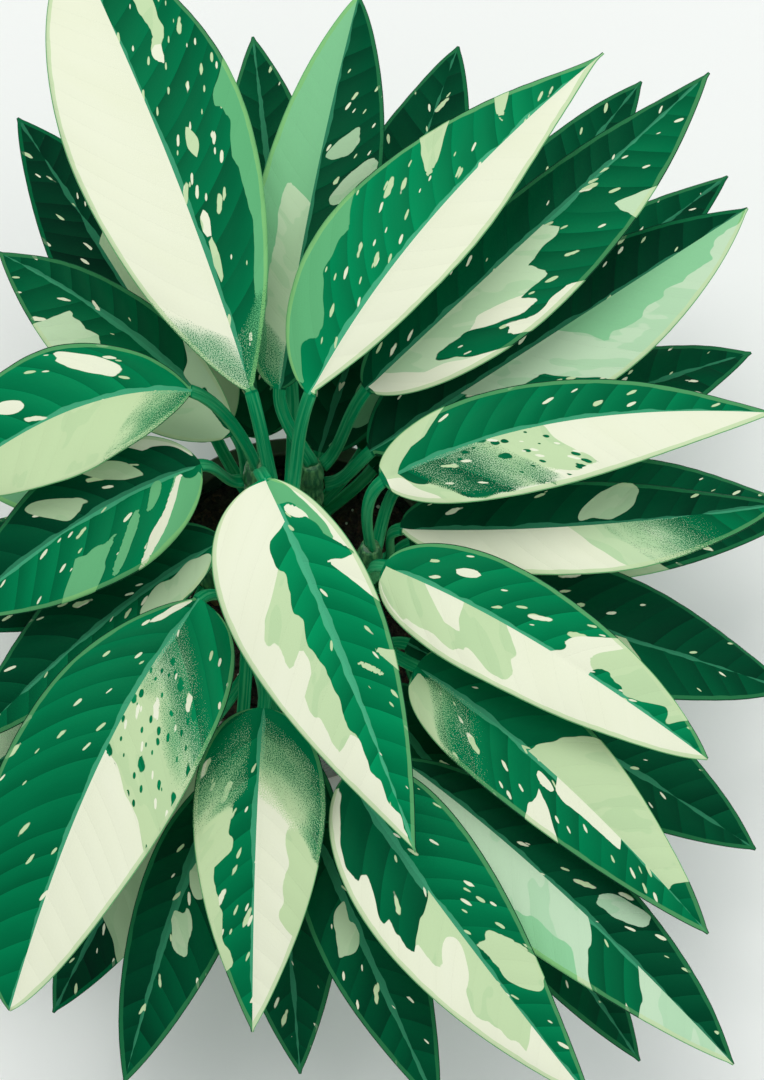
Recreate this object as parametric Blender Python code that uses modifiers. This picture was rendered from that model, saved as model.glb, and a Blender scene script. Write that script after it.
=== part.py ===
"""A potted variegated monstera with lance-shaped leaves: a plain pot, soil, seven stems and their leaves.

Run with: blender --background --python part.py
The frame is metres, +Z up, with the origin at the centre of the pot's flat underside.
Each leaf is one node, its petiole and blade in one body, seated on a node of its stem.
"""

import math
from collections import namedtuple

import bmesh
import bpy
from mathutils import Matrix, Vector

MM = 0.001
UP = Vector((0, 0, 1))
CLEARANCE = 0.3 * MM

# Pot
POT_HEIGHT = 150 * MM
POT_RIM_RADIUS = 88 * MM
POT_FOOT_RADIUS = 62 * MM
POT_WALL = 6 * MM
RIM_HEIGHT = 20 * MM
RIM_PROUD = 4 * MM
EDGE_RADIUS = 2 * MM
DRAIN_RADIUS = 6 * MM
DRAIN_CIRCLE = 34 * MM
DRAIN_COUNT = 3
TURN_STEPS = 40

# Soil
SOIL_BELOW_RIM = 14 * MM
SOIL_MOUND = 4 * MM
SOIL_TOP = POT_HEIGHT - SOIL_BELOW_RIM + SOIL_MOUND
PLANTING_DEPTH = 45 * MM
HOLE_SIDES = 16

# Stems
STEM_RADIUS = 6 * MM
NODE_SWELLING = 1.12
INTERNODE_WAIST = 0.94
STEM_END_TAPER = 0.85
STEM_END_LENGTH = 8 * MM

# Petioles: how far they run straight out of the stem and into the blade, as parts of their reach, and section
LEAVING_REACH = 0.25
ARRIVING_REACH = 0.35
KNEE = 0.6
PETIOLE_WIDTH = 6.5 * MM
PETIOLE_THICKNESS = 4.6 * MM
SHEATH_WIDTH = 7.5 * MM
OVAL_FULLNESS = 0.85
PETIOLE_STATIONS = (0.0, 0.3, 0.6, 0.85)

# Blades: thickness, the midrib's keel, the fold along it, the margins' curl, and the arch's spread
BLADE_THICKNESS = 1.0 * MM
KEEL_DEPTH = 2.2 * MM
KEEL_TAPER = 0.7
FOLD = 0.20
CURL = 0.17
TIP_HALF_WIDTH = 0.7 * MM
ARCH_NEAR_BASE = 1.6
ARCH_NEAR_TIP = 1.07
BLADE_STATIONS = (0.0, 0.045, 0.13, 0.26, 0.42, 0.6, 0.78, 0.92, 1.0)
ACROSS = (-1.0, -0.5, 0.0, 0.5, 1.0)

# Where each numbered stem stands on the soil, how high it ends, and how far it leans out on the way, in mm.
Stem = namedtuple("Stem", "x y top lean_x lean_y")
STEMS = {
    1: Stem(0, 4, 262, -2, -4),
    2: Stem(8, 36, 228, 2, 6),
    3: Stem(36, -2, 232, 4, -2),
    4: Stem(22, -36, 214, 6, -6),
    5: Stem(-18, -36, 228, -4, -4),
    6: Stem(-40, 2, 190, -4, 0),
    7: Stem(-18, 36, 236, 0, 2),
}

# One row a leaf, in mm and degrees, with its stem's number. seat is the height of its node on the stem, and
# END the stem's own end. base and tip are the ends of the blade's midrib. arch is how far the midrib's middle
# stands above a straight line, sweep how far it bows to the left, and roll lifts the left margin. left and
# right are the blade's halves, each with its greatest width and the power that shapes its base, from 0.4,
# round, to 1, a wedge. taper is the power that narrows both towards the tip.
Leaf = namedtuple("Leaf", "name stem seat base tip arch sweep roll left right taper")
END = None
LEAVES = (
    Leaf("crown_leaf_1", 1, END, (-9, -6, 330), (62, -168, 262), 14, 1, 0, (26, 0.66), (44, 0.48), 1.07),
    Leaf("crown_leaf_2", 1, 250, (11, 49, 300), (154, 211, 345), 12, 8, -4, (41, 0.62), (26, 0.98), 1.27),
    Leaf("crown_leaf_3", 1, 238, (-17, 49, 302), (-106, 268, 355), 12, -3, 5, (46, 0.81), (45, 1.0), 0.75),
    Leaf("crown_leaf_4", 7, END, (-47, 57, 286), (-170, 12, 268), 12, -9, -5, (32, 0.73), (34, 0.82), 0.75),
    Leaf("crown_leaf_5", 3, END, (46, 12, 280), (239, 50, 275), 14, 9, 5, (23, 0.43), (32, 0.56), 1.0),
    Leaf("crown_leaf_6", 3, 218, (47, -28, 270), (204, -115, 235), 14, 2, 4, (28, 0.46), (30, 0.41), 0.79),
    Leaf("crown_leaf_7", 5, END, (-42, -45, 270), (-132, -234, 215), 14, -8, 4, (45, 0.38), (44, 0.8), 0.75),
    Leaf("middle_leaf_1", 2, 214, (38, 66, 266), (211, 226, 298), 12, -3, 0, (24, 0.45), (37, 0.64), 0.96),
    Leaf("middle_leaf_2", 2, END, (-5, 67, 264), (34, 272, 296), 10, 2, 6, (27, 0.49), (33, 0.66), 0.82),
    Leaf("middle_leaf_3", 2, 200, (40, 45, 236), (234, 175, 248), 12, -4, 4, (35, 0.54), (38, 0.79), 0.93),
    Leaf("middle_leaf_4", 3, 204, (55, 1, 243), (247, 22, 223), 12, -9, 0, (25, 0.4), (26, 0.74), 0.87),
    Leaf("middle_leaf_5", 4, END, (63, -69, 238), (206, -191, 190), 12, 4, 5, (30, 0.38), (28, 0.4), 0.87),
    Leaf("middle_leaf_6", 4, 184, (54, -106, 205), (220, -249, 155), 12, 3, 0, (27, 0.8), (36, 0.38), 0.89),
    Leaf("middle_leaf_7", 4, 200, (29, -122, 232), (149, -271, 172), 12, -4, 4, (32, 0.42), (34, 0.57), 1.02),
    Leaf("middle_leaf_8", 5, 212, (-11, -94, 250), (-17, -239, 188), 12, -1, 0, (33, 0.48), (31, 0.45), 0.96),
    Leaf("middle_leaf_9", 7, 220, (-44, 30, 256), (-166, -42, 232), 14, -3, -4, (37, 0.61), (30, 0.52), 0.91),
    Leaf("middle_leaf_10", 7, 204, (-34, 2, 224), (-160, -96, 196), 12, -2, 0, (21, 0.7), (31, 0.5), 0.86),
    Leaf("middle_leaf_11", 7, 190, (-28, 55, 236), (-150, 150, 248), 12, -5, -5, (38, 0.6), (18, 0.8), 0.92),
    Leaf("middle_leaf_12", 5, 196, (-30, -112, 203), (-82, -257, 148), 12, -2, 0, (31, 0.5), (20, 0.66), 0.9),
    Leaf("middle_leaf_13", 5, 182, (12, -138, 198), (75, -270, 140), 12, -2, 5, (29, 0.5), (22, 0.55), 1.0),
    Leaf("middle_leaf_14", 1, 222, (0, 84, 238), (-22, 276, 246), 12, 0, 0, (28, 0.5), (28, 0.6), 0.9),
    Leaf("lower_leaf_1", 2, 186, (14, 58, 202), (87, 286, 218), 12, 0, -5, (36, 0.5), (38, 0.5), 0.85),
    Leaf("lower_leaf_2", 2, 170, (36, 65, 186), (187, 279, 192), 12, 0, 4, (34, 0.5), (36, 0.5), 0.88),
    Leaf("lower_leaf_3", 3, 190, (57, 43, 200), (241, 122, 184), 12, 0, -5, (34, 0.5), (33, 0.55), 0.9),
    Leaf("lower_leaf_4", 3, 162, (60, 19, 172), (272, 57, 118), 12, 0, 5, (38, 0.45), (34, 0.55), 0.82),
    Leaf("lower_leaf_5", 3, 176, (56, -11, 194), (257, -54, 150), 12, 0, -4, (36, 0.5), (36, 0.5), 0.85),
    Leaf("lower_leaf_6", 4, 168, (59, -39, 182), (240, -131, 120), 12, 0, 5, (38, 0.5), (33, 0.5), 0.88),
    Leaf("lower_leaf_7", 4, 156, (41, -59, 168), (179, -236, 92), 12, 0, -5, (36, 0.5), (32, 0.5), 0.9),
    Leaf("lower_leaf_8", 5, 168, (-8, -88, 178), (4, -244, 100), 12, 0, 5, (31, 0.5), (31, 0.6), 0.92),
    Leaf("lower_leaf_9", 5, 156, (-40, -76, 172), (-124, -212, 98), 12, 0, -4, (31, 0.6), (31, 0.5), 0.92),
    Leaf("lower_leaf_10", 6, 166, (-68, -42, 186), (-206, -132, 128), 12, 0, 5, (32, 0.5), (32, 0.6), 0.92),
    Leaf("lower_leaf_11", 6, END, (-74, -4, 206), (-238, -14, 166), 12, 0, -5, (31, 0.5), (31, 0.5), 0.92),
    Leaf("lower_leaf_12", 6, 154, (-72, 32, 184), (-218, 106, 146), 12, 0, 5, (31, 0.6), (31, 0.5), 0.92),
    Leaf("lower_leaf_13", 7, 174, (-40, 69, 194), (-152, 260, 186), 12, 0, -5, (32, 0.5), (37, 0.5), 0.9),
    Leaf("lower_leaf_14", 7, 158, (-17, 75, 182), (-56, 296, 152), 12, 0, 4, (34, 0.45), (36, 0.45), 0.92),
    Leaf("lower_leaf_15", 2, 156, (41, 62, 168), (236, 239, 158), 12, 0, -4, (33, 0.5), (35, 0.5), 0.9),
)


def bezier(points, t):
    """The point at t on the cubic Bezier curve with these four control points."""
    a, b, c, d = points
    u = 1 - t
    return a * u**3 + b * (3 * u * u * t) + c * (3 * u * t * t) + d * t**3


def bezier_slope(points, t):
    """The unit direction of that curve at t."""
    a, b, c, d = points
    u = 1 - t
    return ((b - a) * (u * u) + (c - b) * (2 * u * t) + (d - c) * (t * t)).normalized()


def stem_centre(stem, height):
    """The point of a stem's centreline at this height: it leans out above the soil, with upright ends."""
    rise = (height - SOIL_TOP) / (stem.top * MM - STEM_END_LENGTH - SOIL_TOP)
    rise = min(max(rise, 0.0), 1.0)
    return Vector((stem.x + stem.lean_x * rise, stem.y + stem.lean_y * rise, 0)) * MM + UP * height


def midrib_curve(leaf):
    """Four control points of the blade's midrib."""
    base, tip = Vector(leaf.base) * MM, Vector(leaf.tip) * MM
    along = tip - base
    left = UP.cross(along).normalized()
    bow = UP * leaf.arch * MM + left * leaf.sweep * MM
    return base, base + along / 3 + bow * ARCH_NEAR_BASE, tip - along / 3 + bow * ARCH_NEAR_TIP, tip


def petiole_curve(leaf):
    """Four control points of the petiole, from its seat on the stem to the blade."""
    stem = STEMS[leaf.stem]
    blade = midrib_curve(leaf)
    base = blade[0]
    if leaf.seat is END:
        seat = stem_centre(stem, stem.top * MM) + UP * CLEARANCE
        away = UP
    else:
        centre = stem_centre(stem, leaf.seat * MM)
        away = base - centre
        away.z = 0
        away.normalize()
        seat = centre + away * (STEM_RADIUS * NODE_SWELLING + CLEARANCE)
    reach = (base - seat).length
    leave = seat + away * reach * LEAVING_REACH
    arrive = base - (bezier_slope(blade, 0) + UP * KNEE).normalized() * reach * ARRIVING_REACH
    return seat, leave, arrive, base


def half_width(half, taper, s):
    """The width of a blade's half at s along the midrib: widest towards its base, tapering to a point."""
    greatest, base = half
    widest = base / (base + taper)
    shape = (s / widest) ** base * ((1 - s) / (1 - widest)) ** taper
    return max(greatest * MM * shape, TIP_HALF_WIDTH)


def blade_frames(leaf):
    """(s, point, sideways, normal) at each blade station."""
    curve = midrib_curve(leaf)
    frames = []
    for s in BLADE_STATIONS:
        along = bezier_slope(curve, s)
        side = UP.cross(along).normalized()
        side = Matrix.Rotation(math.radians(leaf.roll), 3, along) @ side
        frames.append((s, bezier(curve, s), side, along.cross(side)))
    return frames


def petiole_frames(leaf, side):
    """(point, sideways, normal) at each petiole station, turned as little as possible from the blade's."""
    curve = petiole_curve(leaf)
    frames = []
    for t in reversed(PETIOLE_STATIONS):
        along = bezier_slope(curve, t)
        side = (side - along * side.dot(along)).normalized()
        frames.append((bezier(curve, t), side, along.cross(side)))
    return frames[::-1]


def ring(point, side, normal, top, bottom):
    """A closed ring of points: left to right over the top, then right to left underneath."""
    over = [point + side * x + normal * z for x, z in top]
    under = [point + side * x + normal * z for x, z in bottom]
    return over + under[::-1]


def petiole_section(width):
    """The oval section of a petiole, as (sideways, up) offsets of its top and bottom."""
    top, bottom = [], []
    for t in ACROSS:
        x = -t * width / 2
        z = PETIOLE_THICKNESS / 2 * math.sqrt(1 - OVAL_FULLNESS * t * t)
        top.append((x, z))
        bottom.append((x, -z))
    return top, bottom


def blade_section(leaf, s):
    """The thin folded section of a blade, with the midrib's keel under it, as offsets of top and bottom."""
    keel = KEEL_DEPTH * (1 - s) ** KEEL_TAPER
    top, bottom = [], []
    for t in ACROSS:
        width = half_width(leaf.left if t < 0 else leaf.right, leaf.taper, s)
        x = -t * width
        z = width * (FOLD * abs(t) - CURL * t * t)
        top.append((x, z + BLADE_THICKNESS / 2))
        bottom.append((x, z - BLADE_THICKNESS / 2 - (keel if t == 0 else 0)))
    return top, bottom


def leaf_rings(leaf):
    """All the rings of a leaf, from its seat on the stem to its tip."""
    blade = blade_frames(leaf)
    rings = []
    for i, (point, side, normal) in enumerate(petiole_frames(leaf, blade[0][2])):
        width = SHEATH_WIDTH if i == 0 else PETIOLE_WIDTH
        rings.append(ring(point, side, normal, *petiole_section(width)))
    for s, point, side, normal in blade:
        section = petiole_section(PETIOLE_WIDTH) if s == 0 else blade_section(leaf, s)
        rings.append(ring(point, side, normal, *section))
    return rings


def loft(rings):
    """A closed mesh through rings of equally many points. Top and bottom are cut along matching diagonals."""
    bm = bmesh.new()
    count = len(rings[0])
    verts = [[bm.verts.new(p) for p in points] for points in rings]
    for a, b in zip(verts, verts[1:]):
        for i in range(count):
            j = (i + 1) % count
            if i < count // 2:
                bm.faces.new((a[i], a[j], b[j]))
                bm.faces.new((a[i], b[j], b[i]))
            else:
                bm.faces.new((a[i], a[j], b[i]))
                bm.faces.new((a[j], b[j], b[i]))
    bm.faces.new(verts[0][::-1])
    bm.faces.new(verts[-1])
    bmesh.ops.recalc_face_normals(bm, faces=bm.faces)
    return bm


def material(name, colour, roughness):
    """A plain Principled material."""
    made = bpy.data.materials.new(name)
    made.use_nodes = True
    shader = made.node_tree.nodes["Principled BSDF"]
    shader.inputs["Base Color"].default_value = (*colour, 1)
    shader.inputs["Roughness"].default_value = roughness
    return made


def mesh_object(name, bm, collection, finish):
    """An object from a bmesh, shaded smooth except at sharp edges."""
    mesh = bpy.data.meshes.new(name)
    bm.to_mesh(mesh)
    bm.free()
    mesh.shade_smooth()
    mesh.set_sharp_from_angle(angle=math.radians(50))
    obj = bpy.data.objects.new(name, mesh)
    collection.objects.link(obj)
    obj.data.materials.append(finish)
    return obj


def turned(name, profile, collection, finish):
    """A solid turned about Z from a profile of (radius, height) points that starts and ends on the axis."""
    bm = bmesh.new()
    verts = [bm.verts.new((r, 0, z)) for r, z in profile]
    for a, b in zip(verts, verts[1:]):
        bm.edges.new((a, b))
    obj = mesh_object(name, bm, collection, finish)
    screw = obj.modifiers.new("Turn", "SCREW")
    screw.axis = "Z"
    screw.steps = screw.render_steps = TURN_STEPS
    screw.use_merge_vertices = True
    screw.merge_threshold = 0.00001
    screw.use_smooth_shade = True
    return obj


def drill(obj, name, centre, radius, depth, sides, cutters):
    """Cuts an upright round hole, centred on this point, out of a solid."""
    bm = bmesh.new()
    bmesh.ops.create_cone(bm, cap_ends=True, segments=sides, radius1=radius, radius2=radius, depth=depth)
    mesh = bpy.data.meshes.new(name)
    bm.to_mesh(mesh)
    bm.free()
    cutter = bpy.data.objects.new(name, mesh)
    cutter.location = centre
    cutter.hide_render = True
    cutter.display_type = "WIRE"
    cutters.objects.link(cutter)
    cut = obj.modifiers.new(name, "BOOLEAN")
    cut.operation = "DIFFERENCE"
    cut.object = cutter


def outer_radius(height):
    """The pot body's outer radius at this height, below the rim's band."""
    return POT_FOOT_RADIUS + (POT_RIM_RADIUS - RIM_PROUD - POT_FOOT_RADIUS) * height / POT_HEIGHT


def arc(centre, radius, start, end, steps=3):
    """Points of a circular arc in the profile plane, angles in degrees."""
    turns = [math.radians(start + (end - start) * i / steps) for i in range(steps + 1)]
    return [(centre[0] + radius * math.cos(a), centre[1] + radius * math.sin(a)) for a in turns]


def make_pot(collection, cutters, finish):
    """A plain tapered pot with a thicker rim band and drainage holes in its floor."""
    top_inner = POT_RIM_RADIUS - RIM_PROUD - POT_WALL
    band = POT_HEIGHT - RIM_HEIGHT
    profile = [(0, POT_WALL), (outer_radius(POT_WALL) - POT_WALL, POT_WALL)]
    profile += arc((top_inner + EDGE_RADIUS, POT_HEIGHT - EDGE_RADIUS), EDGE_RADIUS, 180, 90)
    profile += arc((POT_RIM_RADIUS - EDGE_RADIUS, POT_HEIGHT - EDGE_RADIUS), EDGE_RADIUS, 90, 0)
    profile += arc((POT_RIM_RADIUS - EDGE_RADIUS, band + EDGE_RADIUS), EDGE_RADIUS, 0, -90, 2)
    profile += [(outer_radius(band), band)]
    profile += arc((POT_FOOT_RADIUS - EDGE_RADIUS, EDGE_RADIUS), EDGE_RADIUS, 0, -90, 2)
    profile += [(0, 0)]
    pot = turned("pot", profile, collection, finish)
    for i in range(DRAIN_COUNT):
        turn = math.tau * (i + 0.25) / DRAIN_COUNT
        centre = Vector((math.cos(turn), math.sin(turn), 0)) * DRAIN_CIRCLE + UP * POT_WALL / 2
        drill(pot, f"drain_cutter_{i + 1}", centre, DRAIN_RADIUS, POT_WALL * 3, HOLE_SIDES, cutters)


def make_soil(collection, cutters, finish):
    """The soil fills the pot to just under its rim, mounded in the middle, with a hole for each stem."""
    floor = POT_WALL + CLEARANCE
    edge = POT_HEIGHT - SOIL_BELOW_RIM
    wall = POT_WALL + CLEARANCE * 1.5
    mound = outer_radius(edge) - wall
    profile = [(0, SOIL_TOP)]
    profile += [(mound * f, edge + SOIL_MOUND * (1 - f * f)) for f in (0.5, 0.8)]
    profile += [(mound, edge), (outer_radius(floor) - wall, floor), (0, floor)]
    soil = turned("soil", profile, collection, finish)
    radius = STEM_RADIUS + 2 * CLEARANCE
    depth = 2 * (PLANTING_DEPTH + CLEARANCE)
    for number, stem in STEMS.items():
        centre = Vector((stem.x * MM, stem.y * MM, SOIL_TOP))
        drill(soil, f"stem_{number}_hole_cutter", centre, radius, depth, HOLE_SIDES, cutters)


def make_stem(number, stem, collection, finish):
    """A round stem that swells at each leaf's node, planted in the soil."""
    heights = sorted(leaf.seat for leaf in LEAVES if leaf.stem == number and leaf.seat is not END)
    spots = [(SOIL_TOP - PLANTING_DEPTH, 1.0), (SOIL_TOP + CLEARANCE, 1.0)]
    for below, seat in zip([None, *heights], heights):
        if below is not None:
            spots.append(((below + seat) / 2 * MM, INTERNODE_WAIST))
        spots.append((seat * MM, NODE_SWELLING))
    spots.append((stem.top * MM - STEM_END_LENGTH, INTERNODE_WAIST))
    spots.append((stem.top * MM, STEM_END_TAPER))
    spots.sort()
    curve = bpy.data.curves.new(f"stem_{number}", "CURVE")
    curve.dimensions = "3D"
    curve.bevel_depth = STEM_RADIUS
    curve.bevel_resolution = 2
    curve.use_fill_caps = True
    spline = curve.splines.new("POLY")
    spline.points.add(len(spots) - 1)
    for point, (height, swell) in zip(spline.points, spots):
        point.co = (*stem_centre(stem, height), 1)
        point.radius = swell
    obj = bpy.data.objects.new(f"stem_{number}", curve)
    collection.objects.link(obj)
    curve.materials.append(finish)


def new_collection(name):
    made = bpy.data.collections.new(name)
    bpy.context.scene.collection.children.link(made)
    return made


def main():
    for obj in list(bpy.data.objects):
        bpy.data.objects.remove(obj)
    plant = new_collection("potted_monstera")
    cutters = new_collection("cutters")
    glaze = material("glaze", (0.02, 0.045, 0.032), 0.25)
    earth = material("soil", (0.055, 0.035, 0.022), 0.95)
    green_stem = material("stem", (0.03, 0.22, 0.09), 0.5)
    leaf_green = material("leaf", (0.0, 0.20, 0.09), 0.4)
    make_pot(plant, cutters, glaze)
    make_soil(plant, cutters, earth)
    for number, stem in STEMS.items():
        make_stem(number, stem, plant, green_stem)
    for leaf in LEAVES:
        mesh_object(leaf.name, loft(leaf_rings(leaf)), plant, leaf_green)


main()
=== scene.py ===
"""The looks of the potted variegated monstera: fine leaves, stems, soil and pot over the plain solids."""

import math
import random
from collections import namedtuple
from functools import reduce

import bmesh
import bpy
import numpy as np
from mathutils import Matrix, Vector, noise


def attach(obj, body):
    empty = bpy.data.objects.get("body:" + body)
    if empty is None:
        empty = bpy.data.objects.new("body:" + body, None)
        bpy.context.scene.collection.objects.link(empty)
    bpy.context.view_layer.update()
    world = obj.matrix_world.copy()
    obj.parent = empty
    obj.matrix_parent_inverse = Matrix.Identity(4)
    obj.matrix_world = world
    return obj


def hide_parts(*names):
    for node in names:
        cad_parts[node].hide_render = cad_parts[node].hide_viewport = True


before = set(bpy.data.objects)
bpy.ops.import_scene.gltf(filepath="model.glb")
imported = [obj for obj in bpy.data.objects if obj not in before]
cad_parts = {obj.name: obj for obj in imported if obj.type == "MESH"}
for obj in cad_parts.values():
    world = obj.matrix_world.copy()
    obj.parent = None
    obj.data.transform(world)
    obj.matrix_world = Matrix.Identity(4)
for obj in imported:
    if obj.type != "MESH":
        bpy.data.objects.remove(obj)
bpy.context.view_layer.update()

MM = 0.001
UP = Vector((0, 0, 1))
CLEARANCE = 0.3 * MM

# Camera, as the picture looks down on the plant
CAMERA_TARGET = Vector((0.046, 0.0, 0.230))
CAMERA_DISTANCE = 1.5
CAMERA_ELEVATION = 70
CAMERA_LENS = 100
FLOOR_SIZE = 80
FLOOR_DROP = 0.2 * MM

# Pot, as in the solids
POT_HEIGHT = 150 * MM
POT_RIM_RADIUS = 88 * MM
POT_FOOT_RADIUS = 62 * MM
POT_WALL = 6 * MM
RIM_HEIGHT = 20 * MM
RIM_PROUD = 4 * MM
EDGE_RADIUS = 2 * MM
DRAIN_RADIUS = 6 * MM
DRAIN_CIRCLE = 34 * MM
DRAIN_COUNT = 3
DRAIN_SIDES = 48
POT_SIDES = 160
WALL_STEPS = 24
ARC_STEPS = 8
WELD = 0.01 * MM

# Soil, as in the solids
SOIL_BELOW_RIM = 14 * MM
SOIL_MOUND = 4 * MM
SOIL_TOP = POT_HEIGHT - SOIL_BELOW_RIM + SOIL_MOUND
PLANTING_DEPTH = 45 * MM
SOIL_RINGS = 60
SOIL_SIDES = 200
SOIL_ROUGHNESS = 2.2 * MM
CHIP_COUNT = 420
CHIPS_TO_PERLITE = 6

# Stems, as in the solids
STEM_RADIUS = 6 * MM
NODE_SWELLING = 1.12
INTERNODE_WAIST = 0.94
STEM_END_TAPER = 0.85
STEM_END_LENGTH = 8 * MM
STEM_SIDES = 28
STEM_STEPS = 90
STEM_SHOULDER = 1.5 * MM
SHOULDER_STEPS = 5
NODE_REACH = 5 * MM
SCAR_DEPTH = 0.35 * MM
SCAR_HALF_WIDTH = 0.7 * MM
SCAR_BELOW_NODE = 4 * MM

# Petioles and blades, as in the solids
LEAVING_REACH = 0.25
ARRIVING_REACH = 0.35
KNEE = 0.6
PETIOLE_WIDTH = 6.5 * MM
PETIOLE_THICKNESS = 4.6 * MM
SHEATH_WIDTH = 7.5 * MM
OVAL_FULLNESS = 0.85
LAST_PETIOLE_STATION = 0.85
BLADE_THICKNESS = 1.0 * MM
KEEL_DEPTH = 2.2 * MM
KEEL_TAPER = 0.7
FOLD = 0.20
CURL = 0.17
TIP_HALF_WIDTH = 0.7 * MM
ARCH_NEAR_BASE = 1.6
ARCH_NEAR_TIP = 1.07

# What only the fine leaves have
PETIOLE_STEPS = 14
BLADE_STEPS = 104
STEPS_TO_TIP = 1.3
ACROSS_STEPS = 16
EDGE_THINNING = 0.55
KEEL_HALF_WIDTH = 2.0 * MM
RIB_GROOVE = 0.35 * MM
RIB_GROOVE_HALF_WIDTH = 1.3 * MM
PETIOLE_CHANNEL = 0.7 * MM
PETIOLE_CHANNEL_SHARE = 0.42
PETIOLE_BLEND = 0.03
VEIN_SPACING = 15.0
VEIN_SLANT = 0.65
VEIN_BEND = 0.40
PLEAT_DEPTH = 0.40 * MM
WAVE_DEPTH = 1.2 * MM

# How a leaf is painted. Widths and sizes are in mm. A patch smaller than its CRISP size has a crisper border.
STREAK_SLANT = 1.7
BAND_HALF_WIDTH = 1.9
GREEN_BASE_SHARE = 0.016
CRISP_BELOW = 12.0
OVAL_CRISP_BELOW = 7.0
OVAL_EDGE = 1.2
FRECKLE_DENSITY = 1.3
FAR = 30.0
NO_MARGIN = 20.0

Stem = namedtuple("Stem", "x y top lean_x lean_y")
STEMS = {
    1: Stem(0, 4, 262, -2, -4),
    2: Stem(8, 36, 228, 2, 6),
    3: Stem(36, -2, 232, 4, -2),
    4: Stem(22, -36, 214, 6, -6),
    5: Stem(-18, -36, 228, -4, -4),
    6: Stem(-40, 2, 190, -4, 0),
    7: Stem(-18, 36, 236, 0, 2),
}

# The leaves, as in the solids, in mm and degrees. left and right are each half's greatest width and how full
# it is near its base. A seat of END is on the top of the stem.
Leaf = namedtuple("Leaf", "name stem seat base tip arch sweep roll left right taper")
END = None
LEAF_ROWS = {
    "crown_leaf": (
        (1, END, (-9, -6, 330), (62, -168, 262), 14, 1, 0, (26, 0.66), (44, 0.48), 1.07),
        (1, 250, (11, 49, 300), (154, 211, 345), 12, 8, -4, (41, 0.62), (26, 0.98), 1.27),
        (1, 238, (-17, 49, 302), (-106, 268, 355), 12, -3, 5, (46, 0.81), (45, 1.0), 0.75),
        (7, END, (-47, 57, 286), (-170, 12, 268), 12, -9, -5, (32, 0.73), (34, 0.82), 0.75),
        (3, END, (46, 12, 280), (239, 50, 275), 14, 9, 5, (23, 0.43), (32, 0.56), 1.0),
        (3, 218, (47, -28, 270), (204, -115, 235), 14, 2, 4, (28, 0.46), (30, 0.41), 0.79),
        (5, END, (-42, -45, 270), (-132, -234, 215), 14, -8, 4, (45, 0.38), (44, 0.8), 0.75),
    ),
    "middle_leaf": (
        (2, 214, (38, 66, 266), (211, 226, 298), 12, -3, 0, (24, 0.45), (37, 0.64), 0.96),
        (2, END, (-5, 67, 264), (34, 272, 296), 10, 2, 6, (27, 0.49), (33, 0.66), 0.82),
        (2, 200, (40, 45, 236), (234, 175, 248), 12, -4, 4, (35, 0.54), (38, 0.79), 0.93),
        (3, 204, (55, 1, 243), (247, 22, 223), 12, -9, 0, (25, 0.4), (26, 0.74), 0.87),
        (4, END, (63, -69, 238), (206, -191, 190), 12, 4, 5, (30, 0.38), (28, 0.4), 0.87),
        (4, 184, (54, -106, 205), (220, -249, 155), 12, 3, 0, (27, 0.8), (36, 0.38), 0.89),
        (4, 200, (29, -122, 232), (149, -271, 172), 12, -4, 4, (32, 0.42), (34, 0.57), 1.02),
        (5, 212, (-11, -94, 250), (-17, -239, 188), 12, -1, 0, (33, 0.48), (31, 0.45), 0.96),
        (7, 220, (-44, 30, 256), (-166, -42, 232), 14, -3, -4, (37, 0.61), (30, 0.52), 0.91),
        (7, 204, (-34, 2, 224), (-160, -96, 196), 12, -2, 0, (21, 0.7), (31, 0.5), 0.86),
        (7, 190, (-28, 55, 236), (-150, 150, 248), 12, -5, -5, (38, 0.6), (18, 0.8), 0.92),
        (5, 196, (-30, -112, 203), (-82, -257, 148), 12, -2, 0, (31, 0.5), (20, 0.66), 0.9),
        (5, 182, (12, -138, 198), (75, -270, 140), 12, -2, 5, (29, 0.5), (22, 0.55), 1.0),
        (1, 222, (0, 84, 238), (-22, 276, 246), 12, 0, 0, (28, 0.5), (28, 0.6), 0.9),
    ),
    "lower_leaf": (
        (2, 186, (14, 58, 202), (87, 286, 218), 12, 0, -5, (36, 0.5), (38, 0.5), 0.85),
        (2, 170, (36, 65, 186), (187, 279, 192), 12, 0, 4, (34, 0.5), (36, 0.5), 0.88),
        (3, 190, (57, 43, 200), (241, 122, 184), 12, 0, -5, (34, 0.5), (33, 0.55), 0.9),
        (3, 162, (60, 19, 172), (272, 57, 118), 12, 0, 5, (38, 0.45), (34, 0.55), 0.82),
        (3, 176, (56, -11, 194), (257, -54, 150), 12, 0, -4, (36, 0.5), (36, 0.5), 0.85),
        (4, 168, (59, -39, 182), (240, -131, 120), 12, 0, 5, (38, 0.5), (33, 0.5), 0.88),
        (4, 156, (41, -59, 168), (179, -236, 92), 12, 0, -5, (36, 0.5), (32, 0.5), 0.9),
        (5, 168, (-8, -88, 178), (4, -244, 100), 12, 0, 5, (31, 0.5), (31, 0.6), 0.92),
        (5, 156, (-40, -76, 172), (-124, -212, 98), 12, 0, -4, (31, 0.6), (31, 0.5), 0.92),
        (6, 166, (-68, -42, 186), (-206, -132, 128), 12, 0, 5, (32, 0.5), (32, 0.6), 0.92),
        (6, END, (-74, -4, 206), (-238, -14, 166), 12, 0, -5, (31, 0.5), (31, 0.5), 0.92),
        (6, 154, (-72, 32, 184), (-218, 106, 146), 12, 0, 5, (31, 0.6), (31, 0.5), 0.92),
        (7, 174, (-40, 69, 194), (-152, 260, 186), 12, 0, -5, (32, 0.5), (37, 0.5), 0.9),
        (7, 158, (-17, 75, 182), (-56, 296, 152), 12, 0, 4, (34, 0.45), (36, 0.45), 0.92),
        (2, 156, (41, 62, 168), (236, 239, 158), 12, 0, -4, (33, 0.5), (35, 0.5), 0.9),
    ),
}
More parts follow.
